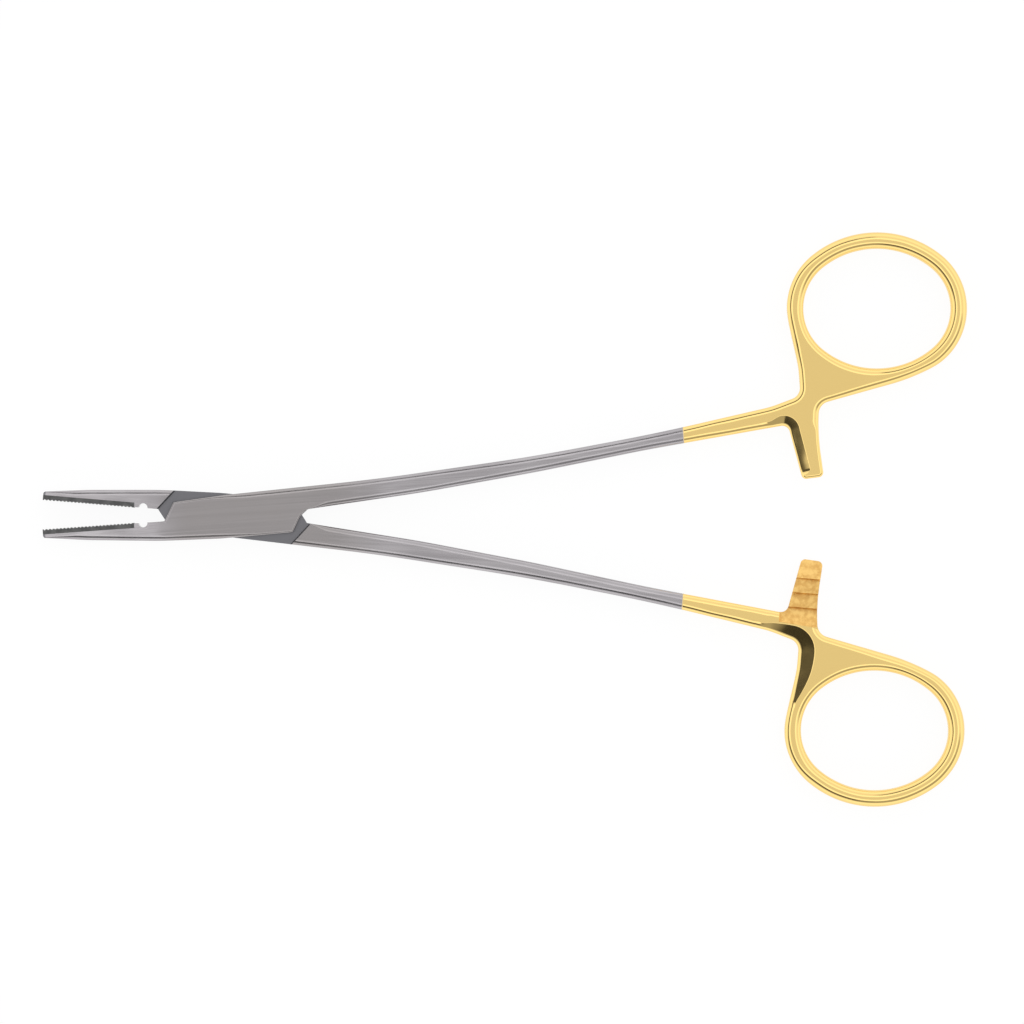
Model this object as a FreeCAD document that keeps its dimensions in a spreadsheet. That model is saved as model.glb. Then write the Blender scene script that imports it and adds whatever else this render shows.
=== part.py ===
import FreeCAD, Part
import math
import os
import Sketcher

# Surgical needle holder with a box lock, lying flat with its jaws open.
# One half carries the box: its two cheeks enclose the tongue of the other half,
# and a flush pin through the box is the pivot. Each half is one forging from
# jaw to finger ring, and each jaw carries a brazed carbide insert.
#
# Frame: the pivot axis is Z, with Z = 0 on the underside of the box, jaws
# towards -X and finger rings towards +X. Every half is drawn with the jaws
# closed, as the box half lies (jaw below the X axis, shank above it); the
# tongue half is that outline turned over the X axis. The bodies are then
# swung apart about the pivot by half of open_angle each.

Vector = FreeCAD.Vector

SIZES = {
    # Pose of the two halves as they lie
    "open_angle": 8.8,
    # Thickness of the forging, all of it symmetric about mid_level
    "box_thick": 4.8,
    "mid_level": 2.4,
    "tip_thick": 2.3,
    "handle_thick": 3.6,
    "jaw_root": 13.5,
    "neck_start": 15.5,
    "neck_end": 36,
    "neck_gap": 2,
    "jaw_root_round": 60,
    "neck_start_round": 40,
    "neck_end_round": 70,
    "forging_edge": 0.8,
    # Jaw, from the pivot out to the tip
    "jaw_length": 36.5,
    "tip_depth": 1.65,
    "tip_round": 1.25,
    "jaw_mid_x": 28,
    "jaw_mid_depth": 2.68,
    "jaw_mid_round": 60,
    "jaw_heel_x": 14,
    "jaw_heel_depth": 3.84,
    "jaw_heel_round": 80,
    "box_belly_x": 2.5,
    "box_belly_depth": 4.2,
    "box_belly_round": 40,
    "box_belly_end": 3.95,
    "jaw_relief": 0.12,
    "notch_x": 17.2,
    "notch_radius": 0.87,
    # Carbide insert
    "insert_root": 18.95,
    "insert_depth": 0.95,
    "bite_gap": 0.01,
    "tooth_pitch": 0.69,
    "tooth_depth": 0.26,
    "tooth_width": 0.62,
    # Box lock: shoulders on the tongue half, cheeks on the box half
    "lock_left": 14.4,
    "lock_right": 14.4,
    "shoulder_set_back": 0.6,
    "shoulder_angle": 52,
    "shoulder_gap": 0.6,
    "cheek_corner_gap": 1.3,
    "cheek_corner_rise": 0.9,
    "cheek_round": 3,
    "cheek_top": 3.42,
    "tongue_thick": 1.9,
    "tongue_slack": 0.05,
    "tongue_side_slack": 0.12,
    "pin_radius": 1.4,
    "pin_running_gap": 0.04,
    # Shank, from the box to the ring: its back and its inner edge
    "back_start_x": 1.1,
    "back_start": 4.1,
    "back_start_round": 20,
    "back_one_x": 28,
    "back_one": 5.08,
    "back_two_x": 58,
    "back_two": 7.25,
    "back_three_x": 82,
    "back_three": 10,
    "back_four_x": 104.3,
    "back_four": 13.5,
    "back_four_round": 20,
    "back_round": 400,
    "crotch_rise": 0.25,
    "crotch_round": 0.9,
    "belly_one_x": 36,
    "belly_one": 1.82,
    "belly_two_x": 58,
    "belly_two": 4.15,
    "belly_three_x": 80,
    "belly_three": 6.98,
    "belly_round": 250,
    # Finger ring, its centre from the pivot
    "ring_x": 125.95,
    "ring_y": 30.85,
    "ring_tilt": -4,
    "ring_long": 15.7,
    "ring_short": 13.05,
    "ring_end_radius": 11.6,
    "ring_band": 3.2,
    "ring_bevel": 0.9,
    # Web between shank, ring and ratchet arm, back or down from the ring's centre
    "web_left": 15.8,
    "web_top_drop": 15.6,
    "web_top_round": 2.2,
    "web_side_drop": 10,
    "web_side_round": 12,
    "web_end_left": 16.8,
    "web_end_drop": 4,
    "web_low": 9.85,
    "web_low_left": 18.6,
    "web_low_round": 1.5,
    "web_heel_left": 12.35,
    "web_heel_drop": 17.5,
    "web_heel_round": 2,
    "web_foot_left": 3.4,
    "web_foot_drop": 15.4,
    # Ratchet arm, back from the ring's centre
    "arm_tip_left": 16.55,
    "arm_tip_right": 12.45,
    "arm_waist_right": 13,
    "arm_waist": 7.5,
    "arm_waist_round": 40,
    "arm_reach": 0.8,
    "arm_corner_reach": 0.55,
    "arm_tip_round": 0.95,
    "arm_gap": 0.1,
    "ledge_left": 19.65,
    "ledge_left_drop": 19.25,
    "ledge_mid_left": 13.75,
    "ledge_mid_drop": 18.75,
    "ledge_right": 11.55,
    "ledge_right_drop": 16.35,
    "ratchet_first": 2.88,
    "ratchet_pitch": 2.82,
    "ratchet_depth": 0.75,
}
RATCHET_TEETH = 3
CUT_MARGIN = 1.5
LEAST_CUT = 1e-4
GROOVE_CLEAR = 0.05

# How an edge is told apart, by its place in mm or the slope of its direction
EDGE_REACH = 0.1
SHORTEST_EDGE = 0.05
STEEP = 0.3
SLANTED = 0.4
STRAIGHT_ACROSS = 0.98
RING_INSIDE = 0.5
RING_OUTSIDE = 1.16

doc = FreeCAD.newDocument("NeedleHolder")
sheet = doc.addObject("Spreadsheet::Sheet", "Size")
for row, (alias, size) in enumerate(SIZES.items(), start=1):
    sheet.set("A%d" % row, alias)
    sheet.set("B%d" % row, str(size))
    sheet.setAlias("B%d" % row, alias)
doc.recompute()


def number(expression):
    """The value of an expression on the sheet's cells."""
    found = sheet.evalExpression(expression)
    return float(getattr(found, "Value", found))


def new_body(label):
    body = doc.addObject("PartDesign::Body", label)
    body.Label = label
    return body


def new_sketch(body, name, plane, offset=None):
    """A sketch on one of the body's own planes, moved by expressions on x, y, z."""
    sketch = body.newObject("Sketcher::SketchObject", name)
    role = [feature for feature in body.Origin.OriginFeatures if feature.Role == plane]
    sketch.AttachmentSupport = (role[0], [""])
    sketch.MapMode = "FlatFace"
    for axis, expression in (offset or {}).items():
        sketch.setExpression("AttachmentOffset.Base." + axis, expression)
    return sketch


def add_dimensions(sketch, dimensions):
    """Add constraints together, and tie each one that has an expression to the sheet."""
    first = sketch.ConstraintCount
    sketch.addConstraint([constraint for constraint, _ in dimensions])
    for index, (_, expression) in enumerate(dimensions, start=first):
        if expression is not None:
            sketch.setExpression("Constraints[%d]" % index, expression)


def place_point(geometry, position, x_size, y_size):
    """Distances of a point from the sketch's origin."""
    return [
        (Sketcher.Constraint("DistanceX", -1, 1, geometry, position, number(x_size)), x_size),
        (Sketcher.Constraint("DistanceY", -1, 1, geometry, position, number(y_size)), y_size),
    ]


def rounding(before, corner, after, radius):
    """Start, end, centre and turn of the arc that rounds a corner."""
    back = (before - corner).normalize()
    ahead = (after - corner).normalize()
    half = back.getAngle(ahead) / 2
    middle = (back + ahead).normalize()
    reach = radius / math.tan(half)
    left_turn = back.cross(ahead).z < 0
    centre = corner + middle * (radius / math.sin(half))
    return corner + back * reach, corner + ahead * reach, centre, left_turn


def draw_outline(sketch, corners):
    """A closed outline of straight edges, with a tangent arc where a corner has a radius."""
    points = [Vector(number(x_size), number(y_size), 0) for x_size, y_size, _ in corners]
    count = len(corners)
    starts = list(points)
    ends = list(points)
    arcs = {}
    for index, (_, _, radius) in enumerate(corners):
        if radius is None:
            continue
        before = points[index - 1]
        after = points[(index + 1) % count]
        ends[index], starts[index], centre, left_turn = rounding(
            before, points[index], after, number(radius))
        arcs[index] = (centre, left_turn)
    lines = []
    for index in range(count):
        line = Part.LineSegment(starts[index], ends[(index + 1) % count])
        lines.append(sketch.addGeometry(line, False))
    dimensions = []
    for index, (x_size, y_size, radius) in enumerate(corners):
        incoming = lines[index - 1]
        outgoing = lines[index]
        if radius is None:
            dimensions.append((Sketcher.Constraint("Coincident", incoming, 2, outgoing, 1), None))
            dimensions += place_point(outgoing, 1, x_size, y_size)
            continue
        centre, left_turn = arcs[index]
        first, last = (ends[index], starts[index]) if left_turn else (starts[index], ends[index])
        circle = Part.Circle(centre, Vector(0, 0, 1), number(radius))
        angles = [math.atan2(end.y - centre.y, end.x - centre.x) for end in (first, last)]
        arc = sketch.addGeometry(Part.ArcOfCircle(circle, angles[0], angles[1]), False)
        corner = sketch.addGeometry(Part.Point(points[index]), True)
        arc_in, arc_out = (1, 2) if left_turn else (2, 1)
        dimensions += [
            (Sketcher.Constraint("Tangent", incoming, 2, arc, arc_in), None),
            (Sketcher.Constraint("Tangent", arc, arc_out, outgoing, 1), None),
            (Sketcher.Constraint("PointOnObject", corner, 1, incoming), None),
            (Sketcher.Constraint("PointOnObject", corner, 1, outgoing), None),
            (Sketcher.Constraint("Radius", arc, number(radius)), radius),
        ]
        dimensions += place_point(corner, 1, x_size, y_size)
    add_dimensions(sketch, dimensions)


def sharp(x_size, y_size):
    return (x_size, y_size, None)


def turned(corners, side):
    """The outline for one half: the tongue half is turned over the X axis."""
    return [(x_size, "%d * (%s)" % (side, y_size), radius) for x_size, y_size, radius in corners]


def pad(body, name, sketch, length):
    feature = body.newObject("PartDesign::Pad", name)
    feature.Profile = sketch
    feature.SideType = "Symmetric"
    feature.setExpression("Length", length)
    return feature


def pocket_through(body, name, sketch):
    """Cut both ways from the sketch, right through."""
    feature = body.newObject("PartDesign::Pocket", name)
    feature.Profile = sketch
    feature.Type = "ThroughAll"
    feature.SideType = "Symmetric"
    return feature


def pocket_one_way(body, name, sketch, along_normal, length=None):
    """Cut from the sketch to one side, through all or to a length."""
    feature = body.newObject("PartDesign::Pocket", name)
    feature.Profile = sketch
    feature.Reversed = along_normal
    if length is None:
        feature.Type = "ThroughAll"
    else:
        feature.setExpression("Length", length)
    return feature


def require_cut(body, feature):
    """Stop if a cut took nothing off."""
    doc.recompute()
    before = feature.BaseFeature.Shape.Volume
    if before - feature.Shape.Volume < LEAST_CUT:
        raise RuntimeError("%s %s cut nothing" % (body.Label, feature.Name))


def level(sign, thickness, extra="0"):
    """Height of a face of the forging, above or below its middle."""
    return "Size.mid_level + %d * (Size.%s / 2 + %s)" % (sign, thickness, extra)


def cut_side_profile(body):
    """Thin the blank from the box to the jaw tip and to the ring, above and below."""
    clear = "Size.box_thick / 2 + %g" % CUT_MARGIN
    for sign, side_name in ((1, "Top"), (-1, "Under")):
        outside = "Size.mid_level + %d * (%s)" % (sign, clear)
        sketch = new_sketch(body, side_name + "Profile", "XZ_Plane")
        draw_outline(sketch, [
            sharp("-Size.jaw_length - %g" % CUT_MARGIN, outside),
            sharp("-Size.jaw_length - %g" % CUT_MARGIN, level(sign, "tip_thick")),
            ("-Size.jaw_root", level(sign, "box_thick"), "Size.jaw_root_round"),
            ("Size.neck_start", level(sign, "box_thick"), "Size.neck_start_round"),
            ("Size.neck_end", level(sign, "handle_thick"), "Size.neck_end_round"),
            sharp("Size.ring_x + %g" % CUT_MARGIN, level(sign, "handle_thick")),
            sharp("Size.ring_x + %g" % CUT_MARGIN, outside),
        ])
        require_cut(body, pocket_through(body, side_name + "Cut", sketch))


def from_ring(left, drop):
    """A place given back and down from the centre of the finger ring."""
    return "Size.ring_x - Size." + left, "Size.ring_y - Size." + drop


def on_band(angle):
    """A place on the middle line of the finger ring's band."""
    return ("Size.ring_x + Size.ring_long * cos(%d)" % angle,
            "Size.ring_y + Size.ring_short * sin(%d)" % angle)


def along_lock(foot, slope, rise):
    """Where a line at shoulder_angle from a foot on the X axis has risen so far."""
    return "%s %s (%s) / tan(Size.shoulder_angle)" % (foot, slope, rise)


def jaw_outline():
    """From the crotch along the bite line to the tip, and back along the outer edge."""
    return [
        sharp("-Size.jaw_length", "-Size.jaw_relief"),
        ("-Size.jaw_length", "-Size.tip_depth", "Size.tip_round"),
        ("-Size.jaw_mid_x", "-Size.jaw_mid_depth", "Size.jaw_mid_round"),
        ("-Size.jaw_heel_x", "-Size.jaw_heel_depth", "Size.jaw_heel_round"),
        ("-Size.box_belly_x", "-Size.box_belly_depth", "Size.box_belly_round"),
    ]


def shank_outline():
    """Inner edge, ratchet arm, web and back of the shank, round to the box."""
    arm_left = "Size.ring_x - Size.arm_tip_left"
    arm_right = "Size.ring_x - Size.arm_tip_right"
    return [
        ("Size.lock_right", "Size.crotch_rise", "Size.crotch_round"),
        ("Size.belly_one_x", "Size.belly_one", "Size.belly_round"),
        ("Size.belly_two_x", "Size.belly_two", "Size.belly_round"),
        ("Size.belly_three_x", "Size.belly_three", "Size.belly_round"),
        ("Size.ring_x - Size.web_low_left", "Size.web_low", "Size.web_low_round"),
        (arm_left, "-Size.arm_reach", "Size.arm_tip_round"),
        (arm_right, "-Size.arm_corner_reach", "Size.arm_tip_round"),
        ("Size.ring_x - Size.arm_waist_right", "Size.arm_waist", "Size.arm_waist_round"),
        (*from_ring("web_heel_left", "web_heel_drop"), "Size.web_heel_round"),
        sharp(*from_ring("web_foot_left", "web_foot_drop")),
        sharp(*on_band(268)),
        sharp(*on_band(242)),
        sharp(*on_band(215)),
        sharp(*on_band(187)),
        sharp(*from_ring("web_end_left", "web_end_drop")),
        (*from_ring("web_left", "web_side_drop"), "Size.web_side_round"),
        (*from_ring("web_left", "web_top_drop"), "Size.web_top_round"),
        ("Size.back_four_x", "Size.back_four", "Size.back_four_round"),
        ("Size.back_three_x", "Size.back_three", "Size.back_round"),
        ("Size.back_two_x", "Size.back_two", "Size.back_round"),
        ("Size.back_one_x", "Size.back_one", "Size.back_round"),
        ("-Size.back_start_x", "Size.back_start", "Size.back_start_round"),
    ]


def box_outline():
    """Outline of the half that carries the box, with the edges of its cheeks."""
    right_shoulder = "Size.lock_right + Size.shoulder_set_back"
    lower_corner = along_lock(right_shoulder, "-", "Size.box_belly_end") + " - Size.shoulder_gap"
    right_corner = along_lock(right_shoulder, "-", "Size.cheek_corner_rise") + " - Size.cheek_corner_gap"
    top_corner = along_lock("-Size.lock_left", "+", "Size.cheek_top") + " + Size.shoulder_gap"
    return [sharp("-Size.lock_left + Size.cheek_corner_gap", "-Size.jaw_relief")] + jaw_outline() + [
        sharp(lower_corner, "-Size.box_belly_end"),
        (right_corner, "-Size.cheek_corner_rise", "Size.cheek_round"),
    ] + shank_outline() + [sharp(top_corner, "Size.cheek_top")]


def tongue_outline():
    """Outline of the half that carries the tongue, with the tongue's own sides."""
    left = "-Size.lock_left + Size.tongue_side_slack"
    right = "Size.lock_right - Size.tongue_side_slack"
    return [sharp(left, "-Size.jaw_relief")] + jaw_outline() + [
        sharp(along_lock(right, "-", "Size.box_belly_end"), "-Size.box_belly_end"),
        sharp(right, "0"),
    ] + shank_outline() + [
        sharp(along_lock(left, "+", "Size.cheek_top"), "Size.cheek_top"),
        sharp(left, "0"),
    ]


def lock_window(left_foot, right_foot):
    """The space between the two slanted walls of the lock, open past both edges."""
    beyond = "Size.box_thick + %g" % CUT_MARGIN
    return [
        sharp(left_foot, "0"),
        sharp(along_lock(left_foot, "+", beyond), "-(%s)" % beyond),
        sharp(right_foot, "-(%s)" % beyond),
        sharp(right_foot, "0"),
        sharp(along_lock(right_foot, "-", beyond), beyond),
        sharp(left_foot, beyond),
    ]


def ring_part(point, side):
    """How far out a point is from the ring's centre, 1 on the middle line of its band."""
    return math.hypot((point.x - number("Size.ring_x")) / number("Size.ring_long"),
                      (point.y * side - number("Size.ring_y")) / number("Size.ring_short"))


def edge_middle(edge):
    return edge.valueAt((edge.FirstParameter + edge.LastParameter) / 2)


def around_ring(edge, side):
    """True for an arc round the ring's band, inside it or outside."""
    reach = ring_part(edge_middle(edge), side)
    return isinstance(edge.Curve, Part.Circle) and RING_INSIDE < reach < RING_OUTSIDE


def on_broad_face(middle):
    """True for a place on the upper or lower face, and not on a wall or in the slot."""
    height = abs(middle.z - number("Size.mid_level"))
    return height > number("Size.tip_thick") / 2 - EDGE_REACH


def is_outer_edge(edge, side):
    """True for the long edges of jaw, box, shank and arm that a hand would feel as rounded."""
    middle = edge_middle(edge)
    along = edge.tangentAt((edge.FirstParameter + edge.LastParameter) / 2)
    x, y = middle.x, middle.y * side
    upright = abs(along.z) > STEEP
    if upright or edge.Length < SHORTEST_EDGE or not on_broad_face(middle):
        return False
    if ring_part(middle, side) < 1 or around_ring(edge, side):
        return False
    bite_line = -number("Size.jaw_relief") - number("Size.forging_edge")
    if x < -number("Size.lock_left") + number("Size.cheek_corner_gap") and y > bite_line:
        return False
    on_forging = EDGE_REACH < x + number("Size.jaw_length") < number("Size.back_four_x")
    if on_forging and abs(along.y) > STRAIGHT_ACROSS:
        return False
    in_lock = abs(x) < number("Size.lock_right") + number("Size.shoulder_set_back")
    return not (in_lock and abs(along.y) > SLANTED)


def round_forging(body, name, side, of_jaw):
    """Round the outer edges of the jaw and box, or those of the shank."""
    base = body.Tip
    names = []
    for index, edge in enumerate(base.Shape.Edges, start=1):
        middle = edge_middle(edge)
        on_jaw_side = middle.y * side < 0 and middle.x < number("Size.lock_right - Size.neck_gap")
        if on_jaw_side == of_jaw and is_outer_edge(edge, side):
            names.append("Edge%d" % index)
    fillet = body.newObject("PartDesign::Fillet", name)
    fillet.Base = (base, names)
    fillet.setExpression("Radius", "Size.forging_edge")
    doc.recompute()


def add_blank(body, outline, side):
    """The forging's outline, thinned from the side."""
    sketch = new_sketch(body, "Plan", "XY_Plane", {"z": "Size.mid_level"})
    draw_outline(sketch, turned(outline, side))
    pad(body, "Blank", sketch, "Size.box_thick + %g" % CUT_MARGIN)
    cut_side_profile(body)


def cut_tongue(body, side):
    """Recess both faces of the tongue half between its two shoulders."""
    window = lock_window("-Size.lock_left", "Size.lock_right + Size.shoulder_set_back")
    for sign, side_name in ((1, "Top"), (-1, "Under")):
        sketch = new_sketch(body, side_name + "Shoulders", "XY_Plane",
                            {"z": "Size.mid_level + %d * Size.tongue_thick / 2" % sign})
        draw_outline(sketch, turned(window, side))
        require_cut(body, pocket_one_way(body, side_name + "Recess", sketch, sign > 0))
    bore_pivot(body, "Size.pin_radius + Size.pin_running_gap")


def cut_box_slot(body, side):
    """Cut the slot that the tongue passes through, leaving the two cheeks."""
    sketch = new_sketch(body, "SlotWalls", "XY_Plane", {"z": "Size.mid_level"})
    draw_outline(sketch, turned(lock_window("-Size.lock_left", "Size.lock_right"), side))
    slot = body.newObject("PartDesign::Pocket", "Slot")
    slot.Profile = sketch
    slot.SideType = "Symmetric"
    slot.setExpression("Length", "Size.tongue_thick + 2 * Size.tongue_slack")
    require_cut(body, slot)
    bore_pivot(body, "Size.pin_radius")


def draw_circle(sketch, x_size, y_size, radius):
    centre = Vector(number(x_size), number(y_size), 0)
    circle = sketch.addGeometry(Part.Circle(centre, Vector(0, 0, 1), number(radius)), False)
    dimensions = [(Sketcher.Constraint("Radius", circle, number(radius)), radius)]
    if x_size == "0":
        dimensions.append((Sketcher.Constraint("Coincident", circle, 3, -1, 1), None))
    else:
        dimensions += place_point(circle, 3, x_size, y_size)
    add_dimensions(sketch, dimensions)


def bore_pivot(body, radius):
    sketch = new_sketch(body, "PivotCircle", "XY_Plane", {"z": "Size.mid_level"})
    draw_circle(sketch, "0", "0", radius)
    require_cut(body, pocket_through(body, "PivotBore", sketch))


def cut_insert_seat(body, side):
    """The ledge that the insert is brazed into, and the relief notch behind it."""
    seat = new_sketch(body, "SeatEdges", "XY_Plane", {"z": "Size.mid_level"})
    outside = "Size.jaw_length + %g" % CUT_MARGIN
    draw_outline(seat, turned([
        sharp("-(%s)" % outside, "-Size.insert_depth"),
        sharp("-Size.insert_root", "-Size.insert_depth"),
        sharp("-Size.insert_root", "%g" % CUT_MARGIN),
        sharp("-(%s)" % outside, "%g" % CUT_MARGIN),
    ], side))
    require_cut(body, pocket_through(body, "InsertSeat", seat))
    notch = new_sketch(body, "NotchCircle", "XY_Plane", {"z": "Size.mid_level"})
    draw_circle(notch, "-Size.notch_x", "%d * Size.jaw_relief" % -side, "Size.notch_radius")
    require_cut(body, pocket_through(body, "Notch", notch))


def draw_ring_oval(body, name, side, offset):
    """An oval of four tangent arcs, parallel to the middle line of the ring's band.

    The end arcs have their centres on the long axis. The side arcs have the one
    radius that meets them tangentially at the oval's short half-width.
    """
    sketch = new_sketch(body, name, "XY_Plane")
    sketch.AttachmentOffset = FreeCAD.Placement(Vector(), FreeCAD.Rotation(Vector(0, 0, 1), 1))
    sketch.setExpression("AttachmentOffset.Base.x", "Size.ring_x")
    sketch.setExpression("AttachmentOffset.Base.y", "%d * Size.ring_y" % side)
    sketch.setExpression("AttachmentOffset.Base.z", "Size.mid_level")
    sketch.setExpression("AttachmentOffset.Rotation.Angle", "%d * Size.ring_tilt" % side)
    end_centre = "(Size.ring_long - Size.ring_end_radius)"
    side_middle = ("(Size.ring_short ^ 2 + %s ^ 2 - Size.ring_end_radius ^ 2)"
                   " / (2 * (Size.ring_short - Size.ring_end_radius))" % end_centre)
    end_radius = "Size.ring_end_radius " + offset
    side_radius = side_middle + " " + offset
    along = number(end_centre)
    down = number(side_middle + " - Size.ring_short")
    lean = math.atan2(down, along)
    arcs = []
    for centre, radius, start, end in (
            (Vector(along, 0, 0), end_radius, -lean, lean),
            (Vector(0, -down, 0), side_radius, lean, math.pi - lean),
            (Vector(-along, 0, 0), end_radius, math.pi - lean, math.pi + lean),
            (Vector(0, down, 0), side_radius, math.pi + lean, 2 * math.pi - lean)):
        circle = Part.Circle(centre, Vector(0, 0, 1), number(radius))
        arcs.append(sketch.addGeometry(Part.ArcOfCircle(circle, start, end), False))
    dimensions = []
    for index, arc in enumerate(arcs):
        radius = side_radius if index % 2 else end_radius
        dimensions.append((Sketcher.Constraint("Tangent", arc, 2, arcs[(index + 1) % 4], 1), None))
        dimensions.append((Sketcher.Constraint("Radius", arc, number(radius)), radius))
    for arc, sign in ((arcs[0], 1), (arcs[2], -1)):
        dimensions += place_point(arc, 3, "%d * %s" % (sign, end_centre), "0")
    add_dimensions(sketch, dimensions)
    return sketch


def add_ring(body, side):
    """The finger ring's oval band, with the hole through it."""
    outer = draw_ring_oval(body, "RingOutside", side, "+ Size.ring_band / 2")
    pad(body, "Ring", outer, "Size.handle_thick")
    doc.recompute()
    inner = draw_ring_oval(body, "RingInside", side, "- Size.ring_band / 2")
    require_cut(body, pocket_through(body, "RingHole", inner))


def bevel_ring(body, side):
    """Bevel the ring's band inside and outside, so that it is eight-sided in section."""
    base = body.Tip
    names = []
    for index, edge in enumerate(base.Shape.Edges, start=1):
        if around_ring(edge, side) and on_broad_face(edge_middle(edge)):
            names.append("Edge%d" % index)
    bevel = body.newObject("PartDesign::Chamfer", "RingBevel")
    bevel.Base = (base, names)
    bevel.setExpression("Size", "Size.ring_bevel")
    doc.recompute()


def cut_ratchet(body, side):
    """Thin the arm to one side of the middle, and cut its teeth into that face.

    The box half's arm passes above the tongue half's, so their teeth face each
    other: down on the box half and up on the tongue half.
    """
    toothed = -side
    face = "Size.mid_level - %d * Size.arm_gap / 2" % toothed
    ledge = new_sketch(body, "LedgeLine", "XY_Plane", {"z": face})
    low = "-(Size.arm_reach + %g)" % CUT_MARGIN
    far_right = "Size.ring_x - Size.ledge_right + %g" % (2 * CUT_MARGIN)
    draw_outline(ledge, turned([
        sharp("Size.ring_x - Size.ledge_left - %g" % CUT_MARGIN, low),
        sharp(far_right, low),
        sharp(far_right, "Size.ring_y - Size.ledge_right_drop"),
        sharp(*from_ring("ledge_right", "ledge_right_drop")),
        sharp(*from_ring("ledge_mid_left", "ledge_mid_drop")),
        sharp(*from_ring("ledge_left", "ledge_left_drop")),
    ], side))
    require_cut(body, pocket_one_way(body, "Ledge", ledge, toothed > 0))
    cut_ramp(body, side, toothed, face)
    cut_teeth(body, side, toothed, face)


def tooth_sketch(body, name, side, toothed, face, crest, floor, run_out):
    """A sawtooth across the arm: its steep side at the crest, running out along Y."""
    sketch = new_sketch(body, name, "YZ_Plane", {"z": "Size.ring_x - Size.ledge_left"})
    clear = "%s + %d * Size.arm_gap" % (face, toothed)
    corners = [(crest, face), (crest, floor), (run_out, face), (run_out, clear), (crest, clear)]
    unique = [corner for corner in corners if not (corner[1] == face and corner[0] == crest)]
    draw_outline(sketch, [sharp("%d * (%s)" % (side, y_size), z_size) for y_size, z_size in unique])
    return sketch


def arm_width():
    return "Size.ledge_left - Size.ledge_right"


def cut_ramp(body, side, toothed, face):
    """The plain lead-in from the arm's tip up to the first tooth."""
    floor = "%s - %d * Size.ratchet_depth" % (face, toothed)
    sketch = tooth_sketch(body, "RampSide", side, toothed, face,
                          "-(Size.arm_reach + %g)" % CUT_MARGIN, floor, "Size.ratchet_first")
    require_cut(body, pocket_one_way(body, "Ramp", sketch, True, arm_width()))


def cut_teeth(body, side, toothed, face):
    floor = "%s - %d * Size.ratchet_depth" % (face, toothed)
    sketch = tooth_sketch(body, "ToothSide", side, toothed, face, "Size.ratchet_first", floor,
                          "Size.ratchet_first + Size.ratchet_pitch")
    tooth = pocket_one_way(body, "Tooth", sketch, True, arm_width())
    require_cut(body, tooth)
    row = repeat(body, "ToothRow", tooth, "Y_Axis", RATCHET_TEETH, "Size.ratchet_pitch")
    row.Reversed = side < 0
    doc.recompute()


def repeat(body, name, feature, axis, count, pitch):
    """A row of copies along one of the body's own axes."""
    row = body.newObject("PartDesign::LinearPattern", name)
    row.Originals = [feature]
    role = [origin for origin in body.Origin.OriginFeatures if origin.Role == axis]
    row.Direction = (role[0], [""])
    row.Mode = "Spacing"
    row.setExpression("Offset", pitch)
    row.Occurrences = count
    body.Tip = row
    doc.recompute()
    return row


def make_half(label, outline, side, cut_lock):
    body = new_body(label)
    add_blank(body, outline, side)
    add_ring(body, side)
    round_forging(body, "JawRound", side, True)
    cut_lock(body, side)
    bevel_ring(body, side)
    round_forging(body, "ShankRound", side, False)
    cut_insert_seat(body, side)
    cut_ratchet(body, side)
    return swing(body, side)


def swing(body, side):
    """Turn a finished body about the pivot into its place with the jaws open."""
    body.Placement = FreeCAD.Placement(Vector(), FreeCAD.Rotation(Vector(0, 0, 1), side))
    body.setExpression("Placement.Rotation.Angle", "%d * Size.open_angle / 2" % side)
    doc.recompute()
    return body


def make_pin():
    """The pivot pin, headless and ground flush with both cheeks."""
    body = new_body("pivot_pin")
    sketch = new_sketch(body, "PinCircle", "XY_Plane", {"z": "Size.mid_level"})
    draw_circle(sketch, "0", "0", "Size.pin_radius")
    pad(body, "Pin", sketch, "Size.box_thick")
    doc.recompute()
    return body


def make_insert(label, side):
    """A carbide insert, as thick as its jaw and cut into pyramids on its face."""
    body = new_body(label)
    plan = new_sketch(body, "Plan", "XY_Plane", {"z": "Size.mid_level"})
    draw_outline(plan, turned([
        sharp("-Size.jaw_length", "-Size.insert_depth"),
        sharp("-Size.insert_root", "-Size.insert_depth"),
        sharp("-Size.insert_root", "-Size.bite_gap"),
        sharp("-Size.jaw_length", "-Size.bite_gap"),
    ], side))
    pad(body, "Blank", plan, "Size.box_thick + %g" % CUT_MARGIN)
    cut_side_profile(body)
    cut_cross_grooves(body, side)
    cut_long_grooves(body, side)
    return swing(body, side)


def groove(centre):
    """Three corners of a groove: two just clear of the face and one at its floor."""
    half = "Size.tooth_width / 2 * (1 + %g / Size.tooth_depth)" % GROOVE_CLEAR
    return [
        ("%s - %s" % (centre, half), "-Size.bite_gap + %g" % GROOVE_CLEAR),
        (centre, "-Size.bite_gap - Size.tooth_depth"),
        ("%s + %s" % (centre, half), "-Size.bite_gap + %g" % GROOVE_CLEAR),
    ]


def cut_cross_grooves(body, side):
    """Grooves across the jaw, one every pitch from the tip to the root."""
    first = "-Size.jaw_length + Size.tooth_pitch / 2"
    sketch = new_sketch(body, "CrossGroove", "XY_Plane", {"z": "Size.mid_level"})
    draw_outline(sketch, turned([sharp(*corner) for corner in groove(first)], side))
    cut = pocket_through(body, "CrossCut", sketch)
    require_cut(body, cut)
    count = int((number("Size.jaw_length") - number("Size.insert_root")) / number("Size.tooth_pitch"))
    repeat(body, "CrossRow", cut, "X_Axis", count, "Size.tooth_pitch")


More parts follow.
